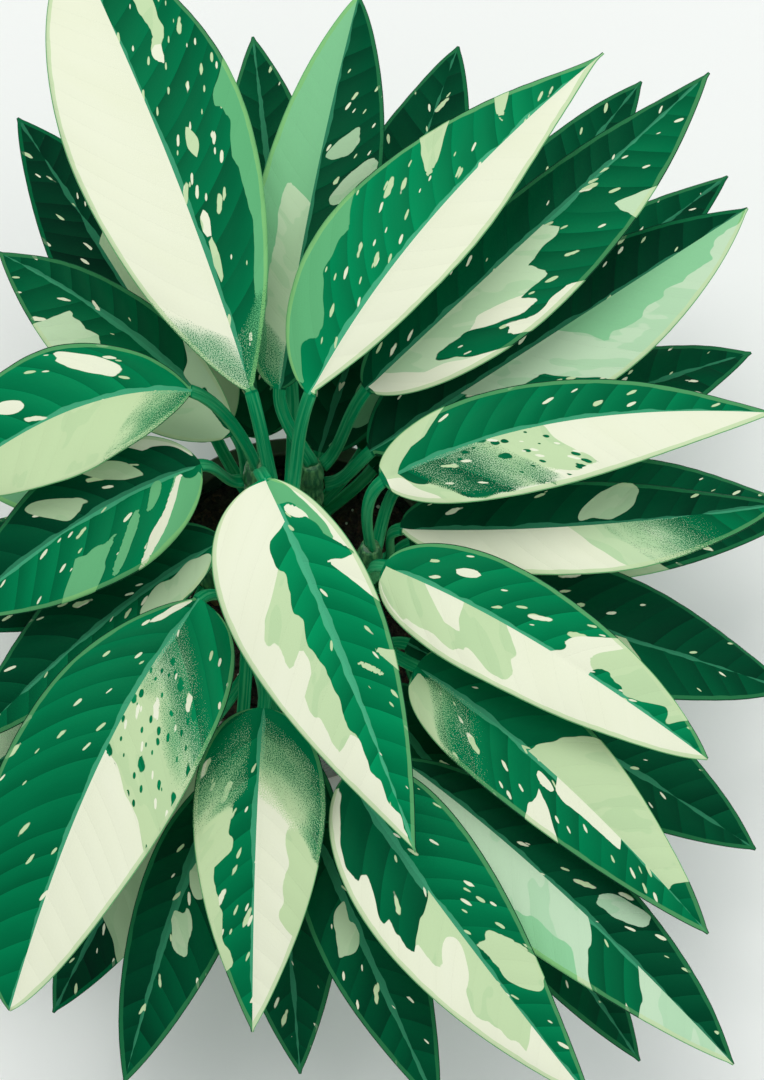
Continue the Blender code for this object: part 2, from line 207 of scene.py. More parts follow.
LEAVES = [Leaf(f"{kind}_{i}", *row) for kind, rows in LEAF_ROWS.items() for i, row in enumerate(rows, 1)]

# How a leaf is coloured. The first two numbers say how dark each half is: partly the green's own tone, and
# partly painted shade where leaves above would shade that half. flecks says how densely it is flecked, and
# cool how bluish its pale parts are. The patches are painted in order, a later one over an earlier one. A
# patch is (kind, side, first, last, inner, outer, narrowing): first and last count the side veins from 0 at
# the blade's base to 1 at its tip, and inner and outer are parts of the half's width. A narrowing of 1 brings
# the patch to a point at its inner end, and a negative one widens it there. Left is left of the way from base
# to tip. Where there is mist the borders dissolve in grains, and where there are freckles the pale parts have
# green spots.
L, R, BOTH = 1, -1, 0
ALL = (-0.5, 1.2)
Look = namedtuple("Look", "shade_left shade_right flecks_left flecks_right cool patches")
LOOKS = {
    "crown_leaf_1": Look(0.12, 0.05, 0.5, 0.1, 0.1, (
        ("cream", R, *ALL, 0, 1), ("sage", R, 0.2, 0.62, 0, 0.64), ("cream", R, 0.37, 0.44, 0.4, 1),
        ("green", R, 0.12, 1.2, 0, 0.28), ("mint", L, -0.5, 0.08, 0, 1), ("mint", L, 0.02, 0.15, 0.55, 1),
        ("cream", L, -0.02, 0.15, 0.8, 1), ("cream", L, 0.17, 0.28, 0.42, 1, 1),
        ("cream", L, 0.075, 0.105, 0.16, 0.5), ("sage", L, 0.42, 0.48, 0.6, 1, 1),
        ("sage", L, 0.5, 0.52, 0.1, 0.55),
    )),
    "crown_leaf_2": Look(0.12, 0.2, 0.8, 0, 0.1, (
        ("mint", L, -0.5, 0.1, 0.45, 1), ("mint", L, 0.08, 0.2, 0.7, 1),
        ("sage", L, 0.43, 0.51, 0.15, 1, 1), ("sage", L, 0.67, 0.72, 0.35, 1, 1), ("cream", R, *ALL, 0, 1),
    )),
    "crown_leaf_3": Look(0.2, 0.48, 0, 0.9, 0.1, (
        ("cream", L, *ALL, 0, 1), ("mint", R, -0.5, 0.45, 0.75, 1), ("sage", R, 0.21, 0.29, 0.1, 0.17),
        ("cream", R, 0.3, 0.34, 0.11, 0.19), ("sage", R, 0.42, 0.48, 0.28, 0.34),
        ("sage", R, 0.66, 0.78, 0.4, 0.62), ("cream", R, 0.62, 0.67, 0.3, 0.42),
        ("green", L, -0.5, 0.03, 0, 1), ("mist", BOTH, -0.5, 0.12, 0, 1),
    )),
    "crown_leaf_4": Look(0.25, 0.25, 0, 0.7, 0, (
        ("sage", L, *ALL, 0, 1), ("cream", R, 0.16, 0.26, 0.4, 0.85), ("cream", R, 0.52, 0.6, 0.25, 0.6),
        ("green", L, -0.5, 0.05, 0, 1), ("mist", L, -0.5, 0.2, 0, 1),
    )),
    "crown_leaf_5": Look(0.35, 0.5, 0.4, 0.9, 0.1, (
        ("sage", BOTH, -0.5, 0.05, 0, 1), ("sage", L, -0.1, 0.09, 0.55, 1),
        ("cream", R, -0.5, 0.03, 0.35, 1), ("cream", R, 0.24, 1.2, 0, 1), ("sage", R, 0.2, 0.41, 0, 0.78),
        ("cream", R, 0.02, 0.24, 0.92, 1), ("mist", R, 0.06, 0.3, 0, 0.92),
        ("freckles", R, 0.16, 0.42, 0, 0.92),
    )),
    "crown_leaf_6": Look(0.2, 0.2, 0.5, 0, 0.1, (
        ("cream", L, 0.5, 0.62, 0, 1), ("sage", L, 0.56, 0.86, 0.22, 1),
        ("cream", L, 0.13, 0.17, 0.46, 0.6), ("cream", R, *ALL, 0, 1), ("sage", R, -0.06, 0.37, 0, 0.78),
        ("cream", R, 0.16, 0.2, 0, 0.46, -2),
    )),
    "crown_leaf_7": Look(0.2, 0.38, 0.5, 0.45, 0, (
        ("cream", L, 0.2, 1.2, 0, 1), ("sage", L, 0.15, 0.4, 0, 1), ("cream", R, -0.03, 0.07, 0.35, 0.78),
        ("mist", L, 0.04, 0.26, 0, 1), ("freckles", L, 0.1, 0.4, 0, 1),
    )),
    "middle_leaf_1": Look(0.8, 0.52, 0.2, 0.5, 0.6, (
        ("cream", R, -0.5, 0.2, 0, 1), ("sage", R, 0.06, 0.36, 0, 0.6), ("sage", R, 0.3, 0.5, 0, 0.25),
        ("cream", R, 0.2, 0.28, 0.45, 0.76), ("green", R, 0.1, 0.2, 0.5, 0.95),
        ("cream", R, 0.15, 0.3, 0.85, 1), ("sage", R, 0.52, 0.62, 0.55, 1, 1),
    )),
    "middle_leaf_2": Look(0.2, 0.85, 0, 0.45, 0.6, (
        ("mint", L, *ALL, 0, 1), ("sage", L, -0.5, 0.44, 0, 0.5), ("green", L, -0.5, 0.03, 0, 1),
        ("mist", L, -0.5, 0.12, 0, 1), ("sage", R, 0.4, 0.46, 0.36, 0.8),
        ("sage", R, 0.52, 0.59, 0.2, 0.55),
    )),
    "middle_leaf_3": Look(0.95, 0.5, 0.3, 0.4, 0.9, (
        ("sage", R, 0.24, 1.2, 0, 1), ("green", R, 0.24, 0.34, 0.4, 1), ("mint", R, 0.48, 1.2, 0, 0.5),
    )),
    "middle_leaf_4": Look(0.9, 0.45, 0.1, 0.3, 0.3, (
        ("sage", L, 0.45, 0.56, 0.2, 0.9), ("cream", R, -0.5, 0.58, 0, 1), ("sage", R, 0.44, 0.64, 0, 1),
        ("mist", R, 0.5, 0.8, 0, 1),
    )),
    "middle_leaf_5": Look(0.55, 0.35, 0.2, 0.6, 0.1, (
        ("sage", R, -0.14, 0.08, 0.3, 1), ("cream", R, 0.34, 0.46, 0.3, 1, 1),
        ("cream", R, 0.39, 0.44, 0.16, 0.3), ("cream", R, 0.46, 0.68, 0, 0.22),
        ("sage", L, 0.35, 0.85, 0, 1), ("mist", R, 0.03, 0.24, 0, 1),
    )),
    "middle_leaf_6": Look(0.85, 0.5, 0.35, 0.2, 1, (
        ("sage", R, *ALL, 0, 1), ("mint", R, 0.1, 0.5, 0.6, 1), ("green", R, 0.55, 0.7, 0, 1),
        ("sage", L, 0.5, 0.6, 0.3, 0.8), ("mist", R, -0.5, 0.14, 0, 1),
    )),
    "middle_leaf_7": Look(0.4, 0.6, 0.5, 0.2, 0.1, (
        ("cream", R, *ALL, 0, 1), ("sage", R, 0.3, 0.76, 0, 0.62), ("cream", R, 0.45, 0.53, 0.2, 0.5),
        ("green", R, -0.5, 0.35, 0, 0.74), ("sage", L, 0.5, 0.65, 0.2, 0.9),
    )),
    "middle_leaf_8": Look(0.4, 0.4, 0, 0.75, 0, (
        ("sage", R, 0.14, 0.4, 0.42, 1), ("sage", R, 0.34, 0.75, 0.7, 1), ("mist", R, -0.06, 0.26, 0.1, 1),
        ("sage", L, 0.1, 1.2, 0, 1), ("cream", L, 0.28, 1.2, 0, 0.5), ("cream", L, 0.6, 1.2, 0, 1),
        ("green", L, 0.1, 0.3, 0.86, 1), ("mist", L, 0.0, 0.3, 0, 1),
    )),
    "middle_leaf_9": Look(0.3, 0.85, 0.5, 0.2, 0.2, (
        ("mint", L, -0.5, 0.09, 0.1, 1), ("cream", L, 0.065, 0.095, 0.06, 1),
        ("mint", L, 0.14, 0.18, 0.08, 0.42), ("mint", L, 0.2, 0.24, 0.25, 0.9),
        ("mint", L, 0.29, 0.45, 0.45, 1), ("sage", R, 0.15, 0.26, 0.3, 0.8),
        ("sage", R, 0.4, 0.5, 0.2, 0.7), ("cream", R, -0.1, 0.06, 0.7, 1),
    )),
    "middle_leaf_10": Look(0.55, 0.85, 0.45, 0.3, 0.5, (("sage", L, 0.05, 0.3, 0.2, 0.9),)),
    "middle_leaf_11": Look(0.6, 0.75, 0.25, 0.25, 0.6, (
        ("sage", BOTH, -0.5, 0.24, 0.1, 1), ("sage", L, 0.35, 0.6, 0.4, 1),
    )),
    "middle_leaf_12": Look(0.8, 0.9, 0.55, 0.3, 0.4, (
        ("sage", L, 0.2, 0.32, 0.05, 0.5), ("sage", L, 0.45, 0.55, 0.05, 0.45),
    )),
    "middle_leaf_13": Look(0.85, 0.8, 0.35, 0.6, 0.4, (("sage", R, 0.3, 0.42, 0.05, 0.5),)),
    "middle_leaf_14": Look(0.8, 0.85, 0.3, 0.2, 0.4, (("sage", L, 0.2, 0.36, 0.3, 1),)),
}
# A lower leaf has one of these, with its sides and places drawn at random.
LOWER_PATCHES = (
    (("sage", L, 0.1, 0.24, 0.3, 1), ("sage", R, 0.46, 0.6, 0.45, 1)),
    (("sage", L, -0.5, 0.6, 0, 1), ("cream", L, 0.2, 0.5, 0.5, 1)),
    (("cream", L, 0.2, 0.34, 0.2, 1), ("sage", L, 0.3, 0.44, 0, 1)),
    (("mint", L, 0.05, 0.3, 0.4, 1), ("sage", R, 0.34, 0.44, 0.5, 1)),
)


def bezier(points, t):
    """The point at t on the cubic Bezier curve with these four control points."""
    a, b, c, d = points
    u = 1 - t
    return a * u**3 + b * (3 * u * u * t) + c * (3 * u * t * t) + d * t**3


def bezier_slope(points, t):
    """The unit direction of that curve at t."""
    a, b, c, d = points
    u = 1 - t
    return ((b - a) * (u * u) + (c - b) * (2 * u * t) + (d - c) * (t * t)).normalized()


def smooth(low, high, x):
    """0 below low, 1 above high, and an even S between them. Takes arrays too."""
    x = np.clip((x - low) / (high - low), 0, 1)
    return x * x * (3 - 2 * x)


def stem_centre(stem, height):
    """The point of a stem's centreline at this height."""
    rise = (height - SOIL_TOP) / (stem.top * MM - STEM_END_LENGTH - SOIL_TOP)
    rise = min(max(rise, 0.0), 1.0)
    return Vector((stem.x + stem.lean_x * rise, stem.y + stem.lean_y * rise, 0)) * MM + UP * height


def midrib_curve(leaf):
    """Four control points of the blade's midrib."""
    base, tip = Vector(leaf.base) * MM, Vector(leaf.tip) * MM
    along = tip - base
    left = UP.cross(along).normalized()
    bow = UP * leaf.arch * MM + left * leaf.sweep * MM
    return base, base + along / 3 + bow * ARCH_NEAR_BASE, tip - along / 3 + bow * ARCH_NEAR_TIP, tip


def petiole_curve(leaf):
    """Four control points of the petiole, from its seat on the stem to the blade."""
    stem = STEMS[leaf.stem]
    blade = midrib_curve(leaf)
    base = blade[0]
    if leaf.seat is END:
        seat = stem_centre(stem, stem.top * MM) + UP * CLEARANCE
        away = UP
    else:
        centre = stem_centre(stem, leaf.seat * MM)
        away = base - centre
        away.z = 0
        away.normalize()
        seat = centre + away * (STEM_RADIUS * NODE_SWELLING + CLEARANCE)
    reach = (base - seat).length
    leave = seat + away * reach * LEAVING_REACH
    arrive = base - (bezier_slope(blade, 0) + UP * KNEE).normalized() * reach * ARRIVING_REACH
    return seat, leave, arrive, base


def half_width(half, taper, s):
    """The width of a blade's half at s along the midrib: widest towards its base, tapering to a point."""
    greatest, base = half
    widest = base / (base + taper)
    shape = (s / widest) ** base * ((1 - s) / (1 - widest)) ** taper
    return max(greatest * MM * shape, TIP_HALF_WIDTH)


def leaf_frames(leaf):
    """(s, point, sideways, normal) from seat to tip. s is 0 to 1 on the blade and below 0 on the stalk."""
    rib = midrib_curve(leaf)
    blade = []
    for i in range(BLADE_STEPS + 1):
        s = (i / BLADE_STEPS) ** STEPS_TO_TIP
        along = bezier_slope(rib, s)
        side = UP.cross(along).normalized()
        side = Matrix.Rotation(math.radians(leaf.roll), 3, along) @ side
        blade.append((s, bezier(rib, s), side, along.cross(side)))
    stalk = petiole_curve(leaf)
    reach = (stalk[3] - stalk[0]).length / (rib[3] - rib[0]).length
    slope = bezier_slope(rib, 0)
    side = blade[0][2]
    petiole = []
    for i in reversed(range(PETIOLE_STEPS)):
        t = i / PETIOLE_STEPS
        knee = max(0.0, (t - LAST_PETIOLE_STATION) / (1 - LAST_PETIOLE_STATION))
        along = bezier_slope(stalk, t).lerp(slope, knee).normalized()
        side = (side - along * side.dot(along)).normalized()
        petiole.append(((t - 1) * reach, bezier(stalk, t), side, along.cross(side)))
    return petiole[::-1] + blade


def across_positions():
    """Where a section's points lie, from 1 at the left margin to -1 at the right."""
    steps = np.linspace(-1, 1, 2 * ACROSS_STEPS + 1)
    size = np.abs(steps)
    return -np.sign(steps) * (0.55 * size**1.6 + 0.45 * np.sin(size * math.pi / 2))


def vein_places(leaf, s, y, length):
    """Where the side vein through each place leaves the midrib, in metres from the blade's base."""
    middle = (leaf.left[0] + leaf.right[0]) / 2 * MM
    return s * length - VEIN_SLANT * np.abs(y) - VEIN_BEND * y**2 / middle


def vein_turns(veins, left, seed):
    """The side veins' number at each place, unevenly spaced, and out of step on the two halves."""
    rng = random.Random(seed)
    count = veins / MM / VEIN_SPACING
    shifts = [rng.random() for _ in range(4)]
    for strength, pace, shift in ((0.16, 0.9, shifts[0]), (0.10, 1.7, shifts[1])):
        count = count + strength * np.sin(pace * count + math.tau * shift + left * 2.1)
    return count + shifts[2] + left * (0.3 + 0.4 * shifts[3])


def leaf_sections(leaf, frames, length):
    """Points of all sections as an array (section, point, xyz), and each point's place across in metres."""
    rng = random.Random(leaf.name)
    a = across_positions()
    size = np.abs(a)
    left = a > 0
    waves = [(rng.uniform(1.6, 2.8), rng.uniform(0, math.tau)) for _ in range(2)]
    rows, places = [], []
    for s, point, side, normal in frames:
        on = max(s, 0.0)
        blend = float(smooth(0, PETIOLE_BLEND, s))
        stalk = PETIOLE_WIDTH + (SHEATH_WIDTH - PETIOLE_WIDTH) * float(smooth(0.75, 1.0, s / frames[0][0]))
        widths = [half_width(half, leaf.taper, on) for half in (leaf.right, leaf.left)]
        widths = [max(w, stalk / 2 * (1 - blend)) if s > 0 else stalk / 2 for w in widths]
        width = np.where(left, widths[1], widths[0])
        y = a * width
        oval = PETIOLE_THICKNESS / 2 * np.sqrt(1 - OVAL_FULLNESS * size**2)
        channel = PETIOLE_CHANNEL * np.exp(-((a / PETIOLE_CHANNEL_SHARE) ** 2))
        turns = vein_turns(vein_places(leaf, on, y, length), left, leaf.name)
        fade = np.clip(size * 3, 0, 1) * smooth(0.02, 0.12, on) * (1 - smooth(0.80, 1.0, on))
        pleat = PLEAT_DEPTH * (np.abs(np.sin(math.pi * turns)) ** 0.8 - 0.6) * fade
        ripple = [math.sin(math.tau * pace * on + start) for pace, start in waves]
        wave = WAVE_DEPTH * np.where(left, *ripple) * size**3 * smooth(0.05, 0.25, on)
        wave = wave * (1 - smooth(0.85, 1.0, on))
        thick = BLADE_THICKNESS * (1 - EDGE_THINNING * size**6) * (1 - 0.4 * smooth(0.9, 1.0, on)) / 2
        groove = RIB_GROOVE * np.exp(-((y / RIB_GROOVE_HALF_WIDTH) ** 2)) * (1 - on) ** 0.5
        keel = KEEL_DEPTH * (1 - on) ** KEEL_TAPER * np.exp(-((y / KEEL_HALF_WIDTH) ** 2))
        form = width * (FOLD * size - CURL * size**2) + pleat + wave
        top = (oval - channel) * (1 - blend) + (form + thick - groove) * blend
        bottom = -oval * (1 - blend) + (form - thick - keel) * blend
        centre, side, normal = (np.array(v) for v in (point, side, normal))
        over = centre + np.outer(y, side) + np.outer(top, normal)
        under = centre + np.outer(y, side) + np.outer(bottom, normal)
        rows.append(np.concatenate([over, under[::-1]]))
        places.append(np.concatenate([y, y[::-1]]))
    return np.array(rows), np.array(places)


def inside(patch, veins, size, sides, half, length):
    """How far, in mm, each corner lies inside a patch: below 0 outside it. A patch that touches neither
    midrib nor margin is an oval. A small patch counts more, so that its border's noise doesn't swallow it."""
    _, side, first, last, inner, outer, narrowing = (*patch, 0)[:7]
    middle, reach = (first + last) / 2, (last - first) / 2
    smallest = min(reach * length, (outer - inner) / 2 * half.max())
    oval = 0 < inner and outer < 1
    crisp = float(np.clip((OVAL_CRISP_BELOW if oval else CRISP_BELOW) / smallest, 1, 3))
    reach = reach * (1 - narrowing * np.clip((outer - size) / max(outer - inner, 0.01), 0, 1))
    far = (reach - np.abs(veins - middle)) * length
    if oval:
        off = (size - (inner + outer) / 2) / ((outer - inner) / 2)
        far = (OVAL_EDGE - np.hypot((veins - middle) / reach, off)) * smallest
    elif inner > 0:
        far = np.minimum(far, (size - inner) * half)
    elif outer < 1:
        far = np.minimum(far, (outer - size) * half)
    if side != BOTH:
        far = np.where(sides == side, far, -FAR)
    return np.clip(far * crisp, -FAR, FAR)


def paint(patches, corners):
    """The fields that colour a leaf. In mm, they are above 0 where it is variegated, where that is cream
    rather than mint or sage, and where it is sage rather than mint. Mist and freckles run from 0 to 1."""
    shape = corners[0].shape
    pale = np.full(shape, -FAR)
    kinds = {kind: np.full(shape, -FAR) for kind in ("cream", "sage", "mint")}
    veils = {kind: np.zeros(shape) for kind in ("mist", "freckles")}
    for patch in patches:
        painted, far = patch[0], inside(patch, *corners)
        if painted in veils:
            veils[painted] = np.maximum(veils[painted], smooth(-3, 5, far))
            continue
        for kind, field in kinds.items():
            kinds[kind] = np.maximum(field, far) if kind == painted else np.minimum(field, -far)
        pale = np.minimum(pale, -far) if painted == "green" else np.maximum(pale, far)
    cream = np.clip((kinds["cream"] - np.maximum(kinds["sage"], kinds["mint"])) / 2, -FAR, FAR)
    sage = np.clip((kinds["sage"] - kinds["mint"]) / 2, -FAR, FAR)
    return {"pale": pale, "cream": cream, "sage": sage, "misty": veils["mist"], "freckled": veils["freckles"]}


def look_of(leaf):
    """A leaf's look: the one listed for it, or for a lower leaf one drawn from the patterns."""
    if leaf.name in LOOKS:
        return LOOKS[leaf.name]
    rng = random.Random(leaf.name)
    flip = rng.choice((1, -1))
    shift = rng.uniform(-0.05, 0.15)
    patches = []
    for kind, side, first, last, *rest in rng.choice(LOWER_PATCHES):
        patches.append((kind, side * flip, first + shift, last + shift, *rest))
    # Lower leaves are dark all over: a deeper green, and mostly painted shade from the crown above them
    tones_and_painted_shades = rng.uniform(0.8, 1.0), rng.uniform(0.8, 1.0)
    return Look(*tones_and_painted_shades, rng.uniform(0.2, 0.5), rng.uniform(0.2, 0.5), rng.uniform(0, 0.6), tuple(patches))


def add_piece(name, mesh, finish, node):
    """Puts a mesh in the scene as the piece that stands for this node."""
    piece = bpy.data.objects.new(name, mesh)
    bpy.context.scene.collection.objects.link(piece)
    mesh.materials.append(finish)
    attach(piece, "root")
    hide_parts(node)
    return piece


def tube_mesh(name, rows):
    """A closed mesh through these sections, its quads, and the point at each of its faces' corners."""
    sections, around = rows.shape[:2]
    grid = np.arange(sections * around).reshape(sections, around)
    turned = np.roll(grid, -1, axis=1)
    quads = np.stack([grid[:-1], turned[:-1], turned[1:], grid[1:]], axis=-1).reshape(-1, 4)
    caps = [grid[0][::-1].tolist(), grid[-1].tolist()]
    mesh = bpy.data.meshes.new(name)
    mesh.from_pydata(rows.reshape(-1, 3).tolist(), [], quads.tolist() + caps)
    mesh.shade_smooth()
    return mesh, quads, np.concatenate([quads.reshape(-1), *caps])


def store(mesh, facts, maps):
    """Puts named numbers and UV maps on the corners of a mesh's faces."""
    for name, values in facts.items():
        layer = mesh.attributes.new(name, "FLOAT", "CORNER")
        layer.data.foreach_set("value", values.astype(np.float32))
    for name, both in maps.items():
        layer = mesh.uv_layers.new(name=name)
        layer.uv.foreach_set("vector", np.stack(both, axis=-1).reshape(-1).astype(np.float32))


def leaf_piece(leaf, index, finish):
    """A whole leaf, with what its material needs to know stored on its mesh."""
    frames = leaf_frames(leaf)
    length = (Vector(leaf.tip) - Vector(leaf.base)).length * MM
    rows, places = leaf_sections(leaf, frames, length)
    mesh, quads, corner = tube_mesh(leaf.name + "_fine", rows)

    # Where each corner is: s along the blade, y across it in metres, and size from 0 at the midrib to 1
    sections, around = places.shape
    a = across_positions()
    across = np.tile(np.concatenate([a, a[::-1]]), sections)
    below = np.tile(np.repeat([0.0, 1.0], len(a)), sections)[corner]
    s = np.repeat([station[0] for station in frames], around)[corner]
    on = np.maximum(s, 0)
    y = places.reshape(-1)[corner]
    size = np.abs(across[corner])
    widest = np.repeat(np.abs(places).max(axis=1), around)[corner]
    half = np.where(size > 0.01, np.abs(y) / np.maximum(size, 0.01), widest)
    sides = np.where(across[quads].mean(axis=1) > 0, L, R)
    sides = np.concatenate([np.repeat(sides, 4), np.ones(2 * around)])
    veins = vein_places(leaf, on, y, length)

    look = look_of(leaf)
    corners = veins / length, size, sides, half / MM, length / MM
    facts = paint(look.patches, corners)
    facts["pale"] = facts["pale"] - (1 - smooth(0.0, GREEN_BASE_SHARE, s)) * 2 * FAR
    ends = smooth(0.02, 0.12, on) * (1 - smooth(0.86, 0.97, on))
    band = BAND_HALF_WIDTH * smooth(-0.02, 0.12, on) * (1 - 0.75 * smooth(0.35, 1.0, on))
    facts |= {
        "flecks": np.where(sides == L, look.flecks_left, look.flecks_right) * ends,
        "band": band - np.abs(y) / MM,
        "edge": np.where(s < 0.004, NO_MARGIN, (1 - size) * half / MM),
        "under": below,
        "stalk": (s <= 0).astype(float),
        # How dark each half is: its own green tone, and painted shade where leaves above would shade it
        "shade": np.where(sides == L, look.shade_left, look.shade_right),
        "cool": np.full(len(corner), look.cool),
    }

    # Each leaf takes its own part of the patterns
    away = index * 0.7
    maps = {
        "veins": (veins + away, y),
        "pleats": (vein_turns(veins, sides == L, leaf.name) + index * 50, y / MM),
        "streaks": (on * length - STREAK_SLANT * np.abs(y) + away, y),
        "span": (s * length + away, y + below * 0.3),
    }
    store(mesh, facts, maps)
    return add_piece(leaf.name + "_fine", mesh, finish, leaf.name)


class Tree:
    """Short names for building a material's nodes."""

    def __init__(self, name):
        self.material = bpy.data.materials.new(name)
        self.material.use_nodes = True
        self.nodes = self.material.node_tree.nodes
        self.links = self.material.node_tree.links
        self.shader = self.nodes["Principled BSDF"]

    def plug(self, socket, value):
        """Links an output to a socket, or sets the socket's value."""
        if isinstance(value, bpy.types.NodeSocket):
            self.links.new(value, socket)
        elif isinstance(value, tuple) and len(value) == 3 and socket.type == "RGBA":
            socket.default_value = (*value, 1)
        else:
            socket.default_value = value

    def node(self, kind, inputs, **settings):
        """A new node of this kind, with these settings, and its inputs linked or set."""
        node = self.nodes.new("ShaderNode" + kind)
        for name, value in settings.items():
            setattr(node, name, value)
        for name, value in inputs.items():
            self.plug(node.inputs[name], value)
        return node

    def fact(self, name):
        """The mesh's stored number of this name."""
        return self.node("Attribute", {}, attribute_name=name).outputs["Fac"]

    def uv(self, name, scale_u=1.0, scale_v=1.0, shift=0.0):
        """A UV map of the mesh, scaled, and moved so that two patterns on it differ."""
        chart = self.node("UVMap", {}, uv_map=name).outputs["UV"]
        return self.mapped(chart, (scale_u, scale_v, 1), (shift, shift * 1.7, shift * 0.6))

    def place(self, x, y=None, z=None):
        """The place in the object, scaled by x, y and z, or by x alone."""
        return self.mapped(self.node("TexCoord", {}).outputs["Object"], (x, y or x, z or x), (0, 0, 0))

    def mapped(self, vector, scale, shift):
        return self.node("Mapping", {"Vector": vector, "Scale": scale, "Location": shift}).outputs["Vector"]

    def axes(self, vector):
        return tuple(self.node("SeparateXYZ", {0: vector}).outputs)

    def math(self, operation, a, b=0.0, c=0.0):
        return self.node("Math", {0: a, 1: b, 2: c}, operation=operation).outputs[0]

    def add(self, *terms):
        return reduce(lambda a, b: self.math("ADD", a, b), terms)

    def times(self, *terms):
        return reduce(lambda a, b: self.math("MULTIPLY", a, b), terms)

    def swing(self, value, depth):
        """A noise value turned into one around 0, depth units deep."""
        return self.times(self.add(value, -0.5), depth)

    def step(self, value, low, high, to_low=0.0, to_high=1.0):
        """A smooth step from to_low to to_high, where value goes from low to high."""
        inputs = {0: value, 1: low, 2: high, 3: to_low, 4: to_high}
        return self.node("MapRange", inputs, interpolation_type="SMOOTHSTEP").outputs["Result"]

    def noise(self, vector, detail=3.0, roughness=0.55):
        inputs = {"Vector": vector, "Scale": 1.0, "Detail": detail, "Roughness": roughness}
        return self.node("TexNoise", inputs).outputs["Fac"]

    def cells(self, vector, dimensions="2D"):
        """Distance from each cell's centre, and three random numbers of the cell."""
        node = self.node("TexVoronoi", {"Vector": vector, "Scale": 1.0}, voronoi_dimensions=dimensions)
        split = self.node("SeparateColor", {0: node.outputs["Color"]})
        return node.outputs["Distance"], *split.outputs

    def random(self, a, b):
        """A random number for each pair of whole numbers."""
        pair = self.node("CombineXYZ", {0: a, 1: b}).outputs[0]
        return self.node("TexWhiteNoise", {"Vector": pair}, noise_dimensions="2D").outputs["Value"]

    def mix(self, factor, a, b):
        return self.node("Mix", {"Factor": factor, 6: a, 7: b}, data_type="RGBA").outputs[2]

    def bump(self, height, distance, strength=1.0, over=None):
        inputs = {"Height": height, "Distance": distance, "Strength": strength}
        if over is not None:
            inputs["Normal"] = over
        return self.node("Bump", inputs).outputs["Normal"]

    def finish(self, colour, roughness, normal, **constants):
        """Wires up the shader. The constants go straight on its own sockets."""
        self.plug(self.shader.inputs["Base Color"], colour)
        self.plug(self.shader.inputs["Roughness"], roughness)
        self.plug(self.shader.inputs["Normal"], normal)
        for name, value in constants.items():
            self.shader.inputs[name.replace("_", " ")].default_value = value
        return self.material


def srgb(*values):
    """A linear colour from the 0 to 255 values that a screen shows."""
    shares = [v / 255 for v in values]
    return tuple(v / 12.92 if v <= 0.04045 else ((v + 0.055) / 1.055) ** 2.4 for v in shares)


CREAM = srgb(237, 239, 215)
CREAM_WARM = srgb(231, 234, 204)
SAGE = srgb(196, 218, 169)
SAGE_COOL = srgb(196, 223, 190)
SAGE_DEEP = srgb(176, 206, 156)
MINT = srgb(90, 172, 114)
MINT_COOL = srgb(146, 206, 156)
# The lit and shaded sides of the painted pleat shading, and the same deep in painted shade
PLEAT_LIT = srgb(0, 151, 93)
PLEAT_SHADED = srgb(0, 100, 59)
DEEP_SHADE_PLEAT_LIT = srgb(0, 60, 36)
DEEP_SHADE_PLEAT_DARK = srgb(0, 32, 21)
TEAL = srgb(74, 176, 130)
MARGIN_GREEN = srgb(104, 176, 112)
RIM = srgb(2, 62, 40)
STALK = srgb(0, 128, 78)
STALK_PALE = srgb(56, 156, 102)
# Pale parts greyed by painted shade
PALE_IN_SHADE = srgb(84, 130, 102)
MINT_TRIM = srgb(130, 192, 118)
LEAF_SHEEN = (0.35, 0.9, 0.55, 1)


def border(t, distance):
    """0 to 1 where a distance in mm passes 0."""
    return t.step(distance, -0.15, 0.15)


def ragged(t, scale_u, scale_v, shift, depth):
    """Noise in mm that makes a sector's border run out along the side veins."""
    return t.swing(t.noise(t.uv("veins", scale_u, scale_v, shift), detail=1.4, roughness=0.36), depth)


def flecks(t, density, chart, shift=0.0):
    """Small and large ovals that lie along a map's first axis, and a random tone of each."""
    bend = t.noise(t.uv("span", 220, 220, shift), detail=1)
    result, tones = None, None
    for scale_u, scale_v, most, seed in ((120, 165, 0.24, 0.0), (62, 76, 0.20, 9.4)):
        far, chance, growth, tone = t.cells(t.uv(chart, scale_u, scale_v, shift + seed))
        far = t.add(far, t.swing(bend, 0.24))
        there = t.math("LESS_THAN", chance, t.times(density, 0.42))
        radius = t.times(t.add(0.30, t.times(growth, 0.70)), most)
        spot = t.times(t.step(t.add(far, t.times(radius, -1.0)), 0.02, -0.02), there)
        result = spot if result is None else t.math("MAXIMUM", result, spot)
        tones = tone if tones is None else t.math("MAXIMUM", tones, t.times(tone, spot))
    return result, tones


